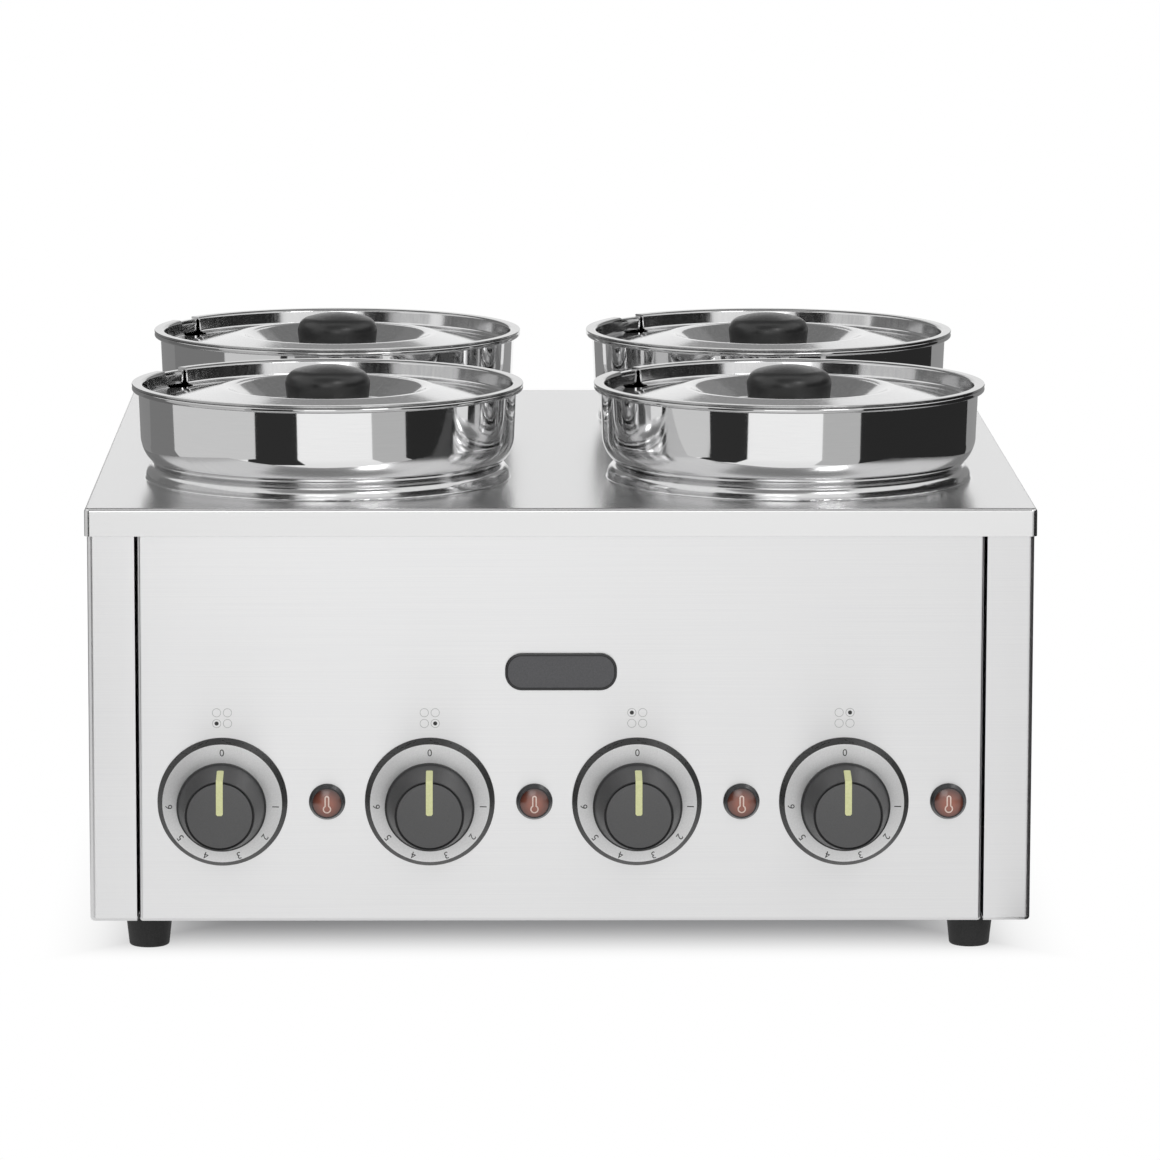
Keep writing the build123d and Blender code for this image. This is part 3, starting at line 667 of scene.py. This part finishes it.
stripe_plastic, tree, shader = plain_finish("lime_pointer_plastic", (0.60, 0.62, 0.32), 0.45, 0.0)
moulding = grain(tree, (900, 900, 900))
tint(tree, moulding, shader.inputs["Base Color"], (0.57, 0.59, 0.29), (0.64, 0.65, 0.36))
for station in stations:
    place = dial_places[station]
    outline = rounded([
        (knob_bore, knob_start + knob_web, 0),
        (knob_back_radius - knob_wall, knob_start + knob_web, 0),
        (knob_back_radius - knob_wall, knob_start, 0),
        (knob_back_radius, knob_start, 0.0004),
        (knob_bead, knob_bead_low, 0.0006),
        (knob_bead, knob_bead_high, 0.0008),
        (knob_cone_foot, knob_bead_high + 0.0001, 0.0002),
        (*knob_cone_end, 0.0004),
        (knob_face[0] + knob_groove_width, knob_cone_end[1], 0),
        (knob_face[0] + knob_groove_width, knob_groove_floor, 0),
        (knob_face[0], knob_groove_floor, 0),
        (knob_face[0], knob_face[1] - face_dome, 0.0004),
        (0.0120, knob_face[1] - face_dome * 0.49, 0),
    ], 5)[:-1]
    for step in range(9):
        radius = 0.0150 * (1 - step / 8)
        outline.append(Vector((radius, knob_face[1] - face_dome * (radius / knob_face[0]) ** 2)))
    mesh = lathed(outline, (0, 0), 128, closed=False)
    for face in mesh.faces:
        middle = face.calc_center_median()
        on_cap = middle.z > knob_face[1] - face_dome - 0.0006 and middle.xy.length < knob_face[0]
        face.material_index = 1 if on_cap else 0
    knob = add_piece(
        f"{station}_control_knob_moulding",
        facing_front(mesh, place),
        f"{station}_control_body",
        [knob_plastic, front_lit_cap_plastic],
    )
    even_shading(knob)
    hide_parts(f"{station}_control_knob")

    path = rounded([
        (0.02137, 0.0262, 0),
        (0.02125, 0.0268, 0),
        (*knob_cone_end, 0.0006),
        (knob_face[0], knob_face[1] - face_dome, 0.0004),
        (0.0140, knob_face[1] - face_dome * 0.66, 0),
        (0.0080, knob_face[1] - face_dome * 0.22, 0),
        (0.0012, knob_face[1], 0),
        (0.0004, knob_face[1], 0),
    ], 6)
    mesh = bmesh.new()
    sections = []
    for number, point in enumerate(path):
        ahead = path[min(number + 1, len(path) - 1)] - path[max(number - 1, 0)]
        out = Vector((-ahead.y, ahead.x)).normalized()
        if out.y < 0:
            out = -out
        half = stripe_half * (0.6 if number in (0, len(path) - 1) else 1)
        rows = []
        for rise in (-0.0004, stripe_proud):
            spot = point + out * rise
            rows += [mesh.verts.new((side * half, spot.x, spot.y)) for side in (-1, 1)]
        sections.append(rows)
    for now, following in zip(sections, sections[1:]):
        for a, b in ((0, 1), (1, 3), (3, 2), (2, 0)):
            mesh.faces.new((now[a], now[b], following[b], following[a]))
    for rows in (sections[0], sections[-1]):
        mesh.faces.new((rows[0], rows[1], rows[3], rows[2]))
    stripe = add_piece(
        f"{station}_pointer_stripe", facing_front(mesh, place), f"{station}_control_body", [stripe_plastic], 50
    )

# Signal lamps
# Push-in lamps with a black bezel and an amber lens, crowned a little. A white thermometer outline is
# printed on the lens.
lamp_black, tree, shader = plain_finish("black_lamp_bezel", (0.02, 0.02, 0.022), 0.22, 0.0)
moulding = grain(tree, (700, 700, 700))
spread(tree, moulding, shader.inputs["Roughness"], 0.16, 0.30)

lens_amber, tree, shader = plain_finish("amber_lens", (0.22, 0.045, 0.02), 0.16, 0.0)
# The lens colour is painted light: lighter in the middle as a painted sheen, and darker towards the rim, most
# at the top, as painted shade from the bezel.
place = tree.nodes.new("ShaderNodeTexCoord")
shade_centre_drop = tree.nodes.new("ShaderNodeVectorMath")
shade_centre_drop.operation = "ADD"
shade_centre_drop.inputs[1].default_value = (0, 0, 0.0010)
flat = tree.nodes.new("ShaderNodeVectorMath")
flat.operation = "MULTIPLY"
flat.inputs[1].default_value = (1, 0, 1)
reach = tree.nodes.new("ShaderNodeVectorMath")
reach.operation = "LENGTH"
lens_sheen_and_shade = tree.nodes.new("ShaderNodeMapRange")
lens_sheen_and_shade.inputs["From Min"].default_value = 0.0025
lens_sheen_and_shade.inputs["From Max"].default_value = 0.0088
lens_sheen_and_shade.inputs["To Min"].default_value = 0.3
lens_sheen_and_shade.inputs["To Max"].default_value = 0.7
tree.links.new(place.outputs["Object"], shade_centre_drop.inputs[0])
tree.links.new(shade_centre_drop.outputs["Vector"], flat.inputs[0])
tree.links.new(flat.outputs["Vector"], reach.inputs[0])
tree.links.new(reach.outputs["Value"], lens_sheen_and_shade.inputs["Value"])
depth = lens_sheen_and_shade.outputs["Result"]
tint(tree, depth, shader.inputs["Base Color"], (0.30, 0.095, 0.06), (0.03, 0.007, 0.005))
lens_grain = grain(tree, (500, 500, 500), 2.0)
spread(tree, lens_grain, shader.inputs["Roughness"], 0.10, 0.22)
shader.inputs["Coat Weight"].default_value = 1.0
shader.inputs["Coat Roughness"].default_value = 0.18

lens_print, tree, shader = plain_finish("white_lens_print", (0.72, 0.55, 0.48), 0.4, 0.0)
print_grain = grain(tree, (3000, 3000, 3000))
tint(tree, print_grain, shader.inputs["Base Color"], (0.64, 0.47, 0.40), (0.80, 0.64, 0.57))
for station in stations:
    wear(nodes[f"{station}_lamp_housing"], lamp_black)
    low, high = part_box(f"{station}_lamp_lens")
    middle = ((low.x + high.x) / 2, (low.z + high.z) / 2)
    lens_radius = (high.x - low.x) / 2
    crown = 0.0015
    dome = (lens_radius ** 2 + crown ** 2) / (2 * crown)
    lens_depth = high.y - low.y
    outline = [Vector((0, 0)), Vector((lens_radius, 0))]
    for step in range(17):
        radius = lens_radius * (1 - step / 16)
        outline.append(Vector((radius, lens_depth + sqrt(dome ** 2 - radius ** 2) - dome)))
    lens = add_piece(
        f"{station}_lamp_lens_moulding",
        facing_front(lathed(outline, (0, 0), 64, closed=False), (0, 0, 0)),
        "casing",
        [lens_amber],
        35,
        (middle[0], high.y, middle[1]),
    )
    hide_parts(f"{station}_lamp_lens")
    bulb_radius = 0.0019
    tube_half = 0.00092
    bulb_low = -0.0032
    neck = asin(tube_half / bulb_radius)
    sign = []
    for step in range(29):
        angle = neck + (2 * pi - 2 * neck) * step / 28
        sign.append(Vector((bulb_radius * sin(angle), bulb_low + bulb_radius * cos(angle))))
    tube_low = sign[-1].y
    tube_top = 0.0028
    for step in range(1, 6):
        sign.append(Vector((-tube_half, tube_low + (tube_top - tube_low) * step / 6)))
    for step in range(13):
        angle = -pi / 2 + pi * step / 12
        sign.append(Vector((tube_half * sin(angle), tube_top + tube_half * cos(angle))))
    for step in range(1, 6):
        sign.append(Vector((tube_half, tube_top + (tube_low - tube_top) * step / 6)))
    stroke = 0.00036
    mesh = bmesh.new()
    rings = []
    for number, point in enumerate(sign):
        along = (sign[(number + 1) % len(sign)] - sign[number - 1]).normalized()
        across = Vector((-along.y, along.x))
        pair = []
        for side in (-1, 1):
            spot = point + across * side * stroke
            rise = sqrt(dome ** 2 - spot.length_squared) - dome
            pair.append(mesh.verts.new((middle[0] + spot.x, low.y - rise - 0.00012, middle[1] + spot.y)))
        rings.append(pair)
    for now, following in zip(rings, rings[1:] + rings[:1]):
        mesh.faces.new((now[0], now[1], following[1], following[0]))
    thermometer = add_piece(f"{station}_lamp_symbol", mesh, "casing", [lens_print])

# Station symbols
# A small screen-printed square of four circles above each dial shows which pot it heats: pale grey
# outlines, with a black dot in the circle that stands for the pot.
pale_ink, tree, shader = plain_finish("pale_symbol_ink", (0.45, 0.45, 0.45), 0.6, 0.0)
ink_grain = grain(tree, (2500, 2500, 2500))
tint(tree, ink_grain, shader.inputs["Base Color"], (0.40, 0.40, 0.40), (0.52, 0.52, 0.52))
panel_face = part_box("front_panel")[0].y
symbol_level = 0.1302
symbol_step = 0.0029
symbol_radius = 0.0024
symbol_line = 0.00035
dot_radius = 0.0011
ink_proud = 0.00003
for number, station in enumerate(stations):
    centre_x = dial_places[station].x
    mesh = bmesh.new()
    for spot, (side, row) in enumerate(((-1, -1), (1, -1), (-1, 1), (1, 1))):
        x = centre_x + side * symbol_step
        z = symbol_level + row * symbol_step
        loops = []
        for radius in (symbol_radius, symbol_radius - symbol_line):
            loop = []
            for step in range(40):
                angle = 2 * pi * step / 40
                spot_place = (x + radius * cos(angle), panel_face - ink_proud, z + radius * sin(angle))
                loop.append(mesh.verts.new(spot_place))
            loops.append(loop)
        for step in range(40):
            mesh.faces.new((loops[0][step - 1], loops[0][step], loops[1][step], loops[1][step - 1]))
        if spot == number:
            dot = []
            for step in range(32):
                angle = 2 * pi * step / 32
                spot_place = (x + dot_radius * cos(angle), panel_face - ink_proud, z + dot_radius * sin(angle))
                dot.append(mesh.verts.new(spot_place))
            mesh.faces.new(dot).material_index = 1
    symbol = add_piece(f"{station}_pot_symbol", mesh, "casing", [pale_ink, scale_ink])

# Badge plate
# A dark moulded plate with a raised polished rim, stuck to the front panel by its back and left bare.
badge_field, tree, shader = plain_finish("grey_badge_field", (0.07, 0.07, 0.075), 0.42, 0.0)
field_grain = grain(tree, (1200, 1200, 1200))
tint(tree, field_grain, shader.inputs["Base Color"], (0.06, 0.06, 0.064), (0.085, 0.085, 0.09))
spread(tree, field_grain, shader.inputs["Roughness"], 0.36, 0.50)
badge_rim, tree, shader = plain_finish("black_badge_rim", (0.015, 0.015, 0.016), 0.2, 0.0)
rim_grain = grain(tree, (700, 700, 700))
spread(tree, rim_grain, shader.inputs["Roughness"], 0.15, 0.28)
low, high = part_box("badge_plate")
badge_middle = ((low.x + high.x) / 2, (low.z + high.z) / 2)
badge_half = ((high.x - low.x) / 2, (high.z - low.z) / 2)
badge_back = high.y
badge_proud = high.y - low.y
badge_corner = 0.009


def badge_loop(mesh, inset, proud):
    """Rounded loop of the plate, drawn in from its edge and standing off the panel."""
    corner = badge_corner - inset
    loop = []
    for quarter in range(4):
        side_x = 1 if quarter in (0, 3) else -1
        side_z = 1 if quarter in (0, 1) else -1
        for step in range(13):
            angle = pi / 2 * (quarter + step / 12)
            x = badge_middle[0] + side_x * (badge_half[0] - badge_corner) + corner * cos(angle)
            z = badge_middle[1] + side_z * (badge_half[1] - badge_corner) + corner * sin(angle)
            loop.append(mesh.verts.new((x, badge_back - proud, z)))
    return loop


mesh = bmesh.new()
steps = [
    (0, 0),
    (0, badge_proud - 0.0005),
    (0.00015, badge_proud - 0.00015),
    (0.0005, badge_proud),
    (0.0012, badge_proud),
    (0.00135, badge_proud - 0.00012),
    (0.0015, badge_proud - 0.00035),
]
loops = [badge_loop(mesh, *step) for step in steps]
for now, following in zip(loops, loops[1:]):
    for number in range(len(now)):
        mesh.faces.new((now[number - 1], now[number], following[number], following[number - 1]))
mesh.faces.new(loops[0])
mesh.faces.new(loops[-1]).material_index = 1
badge = add_piece("badge_plate_moulding", mesh, "casing", [badge_rim, badge_field], 30)
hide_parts("badge_plate")

# Studio
# A white floor that runs out to a white surround, soft light from above and both sides, and dark and grey
# cards standing round the unit for its polished steel to reflect.
floor_mesh = bmesh.new()
bmesh.ops.create_grid(floor_mesh, x_segments=1, y_segments=1, size=40)
floor_data = bpy.data.meshes.new("studio_floor")
floor_mesh.to_mesh(floor_data)
floor_mesh.free()
floor = bpy.data.objects.new("studio_floor", floor_data)
bpy.context.scene.collection.objects.link(floor)
floor_paper = bpy.data.materials.new("white_floor_paper")
floor_paper.use_nodes = True
tree = floor_paper.node_tree
tree.nodes.clear()
rays = tree.nodes.new("ShaderNodeLightPath")
place = tree.nodes.new("ShaderNodeTexCoord")
reach = tree.nodes.new("ShaderNodeVectorMath")
reach.operation = "LENGTH"
# Seen in reflections, the floor glows darker near the unit as painted shade, from 0.86 close in to 0.99 far
# out.
reflected_floor_shade = tree.nodes.new("ShaderNodeMapRange")
reflected_floor_shade.inputs["From Min"].default_value = 0.35
reflected_floor_shade.inputs["From Max"].default_value = 1.5
reflected_floor_shade.inputs["To Min"].default_value = 0.86
reflected_floor_shade.inputs["To Max"].default_value = 0.99
shade = tree.nodes.new("ShaderNodeMix")
shade.inputs["A"].default_value = 1.0
paper = tree.nodes.new("ShaderNodeBsdfDiffuse")
paper.inputs["Color"].default_value = (0.74, 0.74, 0.74, 1)
glow = tree.nodes.new("ShaderNodeEmission")
centred = tree.nodes.new("ShaderNodeVectorMath")
centred.operation = "SUBTRACT"
centred.inputs[1].default_value = (deck_middle.x, deck_middle.y, 0)
flat = tree.nodes.new("ShaderNodeVectorMath")
flat.operation = "ABSOLUTE"
drawn_in = tree.nodes.new("ShaderNodeVectorMath")
drawn_in.operation = "SUBTRACT"
drawn_in.inputs[1].default_value = (0.022, 0, 0)
sides = tree.nodes.new("ShaderNodeSeparateXYZ")
outline_reach = tree.nodes.new("ShaderNodeMath")
outline_reach.operation = "MAXIMUM"
fade = tree.nodes.new("ShaderNodeMapRange")
fade.interpolation_type = "SMOOTHSTEP"
fade.inputs["From Min"].default_value = 0.1515
fade.inputs["From Max"].default_value = 0.2615
fade.inputs["To Min"].default_value = 0.0
fade.inputs["To Max"].default_value = 1.0
lift = tree.nodes.new("ShaderNodeMix")
lift.inputs["A"].default_value = 0.0
plain = tree.nodes.new("ShaderNodeMath")
plain.operation = "MAXIMUM"
blend = tree.nodes.new("ShaderNodeMixShader")
surface = tree.nodes.new("ShaderNodeOutputMaterial")
tree.links.new(place.outputs["Object"], reach.inputs[0])
tree.links.new(reach.outputs["Value"], reflected_floor_shade.inputs["Value"])
tree.links.new(rays.outputs["Is Glossy Ray"], shade.inputs["Factor"])
tree.links.new(reflected_floor_shade.outputs["Result"], shade.inputs["B"])
tree.links.new(shade.outputs["Result"], glow.inputs["Strength"])
tree.links.new(place.outputs["Object"], centred.inputs[0])
tree.links.new(centred.outputs["Vector"], flat.inputs[0])
tree.links.new(flat.outputs["Vector"], drawn_in.inputs[0])
tree.links.new(drawn_in.outputs["Vector"], sides.inputs["Vector"])
tree.links.new(sides.outputs["X"], outline_reach.inputs[0])
tree.links.new(sides.outputs["Y"], outline_reach.inputs[1])
tree.links.new(outline_reach.outputs["Value"], fade.inputs["Value"])
tree.links.new(rays.outputs["Is Camera Ray"], lift.inputs["Factor"])
tree.links.new(fade.outputs["Result"], lift.inputs["B"])
tree.links.new(lift.outputs["Result"], plain.inputs[0])
tree.links.new(rays.outputs["Is Glossy Ray"], plain.inputs[1])
tree.links.new(plain.outputs["Value"], blend.inputs["Fac"])
tree.links.new(paper.outputs["BSDF"], blend.inputs[1])
tree.links.new(glow.outputs["Emission"], blend.inputs[2])
tree.links.new(blend.outputs["Shader"], surface.inputs["Surface"])
floor_data.materials.append(floor_paper)

world = bpy.data.worlds.new("studio")
world.use_nodes = True
bpy.context.scene.world = world
tree = world.node_tree
surround = tree.nodes["Background"]
surround.inputs["Color"].default_value = (1, 1, 1, 1)


def soft_light(name, place, size, power):
    """Square softbox aimed at the middle of the unit."""
    lamp = bpy.data.lights.new(name, "AREA")
    lamp.shape = "SQUARE"
    lamp.size = size
    lamp.energy = power
    holder = bpy.data.objects.new(name, lamp)
    holder.location = place
    holder.rotation_euler = (Vector((0, 0, 0.15)) - Vector(place)).to_track_quat("-Z", "Y").to_euler()
    bpy.context.scene.collection.objects.link(holder)


soft_light("key_softbox", (1.3, -2.4, 2.3), 0.8, 10)
soft_light("front_softbox", (-0.3, -3.2, 1.1), 1.0, 4)


def card(name, corners, shade):
    """Flat card seen only in reflections."""
    mesh = bmesh.new()
    mesh.faces.new([mesh.verts.new(corner) for corner in corners])
    data = bpy.data.meshes.new(name)
    mesh.to_mesh(data)
    mesh.free()
    piece = bpy.data.objects.new(name, data)
    bpy.context.scene.collection.objects.link(piece)
    paper = bpy.data.materials.new(name)
    paper.use_nodes = True
    paper.node_tree.nodes.clear()
    plain_shade = paper.node_tree.nodes.new("ShaderNodeEmission")
    plain_shade.inputs["Strength"].default_value = shade
    face = paper.node_tree.nodes.new("ShaderNodeOutputMaterial")
    paper.node_tree.links.new(plain_shade.outputs["Emission"], face.inputs["Surface"])
    data.materials.append(paper)
    piece.visible_camera = False
    piece.visible_diffuse = False
    piece.visible_shadow = False


# Each sector has its first and last bearing in degrees, its shade, and its cards' near edge and height.
card_distance = 3.0
sheet_level = 0.001
card_sectors = (
    ("left_black", -47, -20, 0.03, 0.7, 1.5),
    ("left_back_dark", -130, -80, 0.2, 0.36, 1.5),
    ("left_back_grey", -165, -130, 0.25, 0.36, 3.2),
    ("right_grey", 20.5, 41, 0.50, 0.7, 0.03),
    ("right_black", 41, 130, 0.025, 0.36, 1.5),
    ("right_back_grey", 130, 163, 0.30, 0.36, 3.2),
)
for name, first, last, shade, near, height in card_sectors:
    ways = [Vector((sin(radians(angle)), -cos(radians(angle)))) for angle in (first, (first + last) / 2, last)]
    for part, (start_way, end_way) in enumerate(zip(ways, ways[1:])):
        start_far = start_way * card_distance
        end_far = end_way * card_distance
        sheet = [(*(start_way * near), sheet_level), (*(end_way * near), sheet_level)]
        sheet += [(*end_far, sheet_level), (*start_far, sheet_level)]
        card(f"{name}_floor_sheet_{part}", sheet, shade)
        wall = [(*start_far, sheet_level), (*end_far, sheet_level)]
        wall += [(*end_far, height), (*start_far, height)]
        card(f"{name}_card_{part}", wall, shade)
stand = [(-0.894, -0.97, 0.002), (-0.634, -0.041, 0.002), (-0.634, -0.041, 0.5), (-0.894, -0.97, 0.5)]
card("left_light_card", stand, 0.65)
card("back_high_card", [(-0.5, 3.0, 1.5), (0.5, 3.0, 1.5), (0.5, 3.0, 2.6), (-0.5, 3.0, 2.6)], 0.35)
card("front_high_card", [(-2.5, -3.9, 3.05), (2.5, -3.9, 3.05), (2.5, -1.3, 4.8), (-2.5, -1.3, 4.8)], 0.30)
card("ceiling_card", [(-1.6, 0.3, 2.6), (1.6, 0.3, 2.6), (1.6, 3.0, 2.6), (-1.6, 3.0, 2.6)], 0.22)
